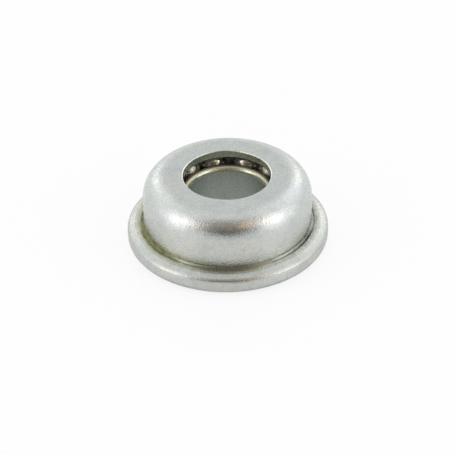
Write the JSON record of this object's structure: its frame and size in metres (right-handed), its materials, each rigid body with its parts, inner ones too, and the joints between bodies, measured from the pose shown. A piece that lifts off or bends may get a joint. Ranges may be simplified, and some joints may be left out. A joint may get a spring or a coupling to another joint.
{
  "type": "flanged wheel hub bearing",
  "caption": "Pressed-steel flanged wheel bearing: drawn cup crimped to a retainer, loose balls in a ring and a turned inner race that spins on an axle.",
  "frame": {"origin": "on the bearing's axis at the lower end of the inner race, which stands a little proud of the flange", "axes": "+Z along the axis, from the flange towards the cup's holed top; X and Y across"},
  "size_m": [0.0418, 0.0418, 0.0158],
  "materials": {
    "zinc_plated_steel": "pale satin zinc plate on pressed sheet steel, with a little grease in the rim's gutter",
    "race_steel": "turned steel, oiled, with a brassy tint on the rounded edge",
    "ball_steel": "polished ball steel under a film of brown grease"
  },
  "bodies": {
    "outer": {"outer_cup": "zinc_plated_steel", "crimped_retainer": "zinc_plated_steel"},
    "inner": {"inner_race": "race_steel"},
    "ball_ring": {"ball_01": "ball_steel", "ball_02": "ball_steel", "ball_03": "ball_steel", "ball_04": "ball_steel", "ball_05": "ball_steel", "ball_06": "ball_steel", "ball_07": "ball_steel", "ball_08": "ball_steel", "ball_09": "ball_steel", "ball_10": "ball_steel", "ball_11": "ball_steel", "ball_12": "ball_steel"}
  },
  "joints": [
    {"name": "inner_spin", "type": "hinge", "parent": "outer", "child": "inner", "pos_m": [0, 0, 0.01086], "axis": [0, 0, 1], "continuous": true},
    {"name": "ball_orbit", "type": "hinge", "parent": "outer", "child": "ball_ring", "pos_m": [0, 0, 0.01086], "axis": [0, 0, 1], "continuous": true}
  ],
  "couplings": [
    {"joint": "ball_orbit", "follows": "inner_spin", "ratio": 0.4102}
  ]
}
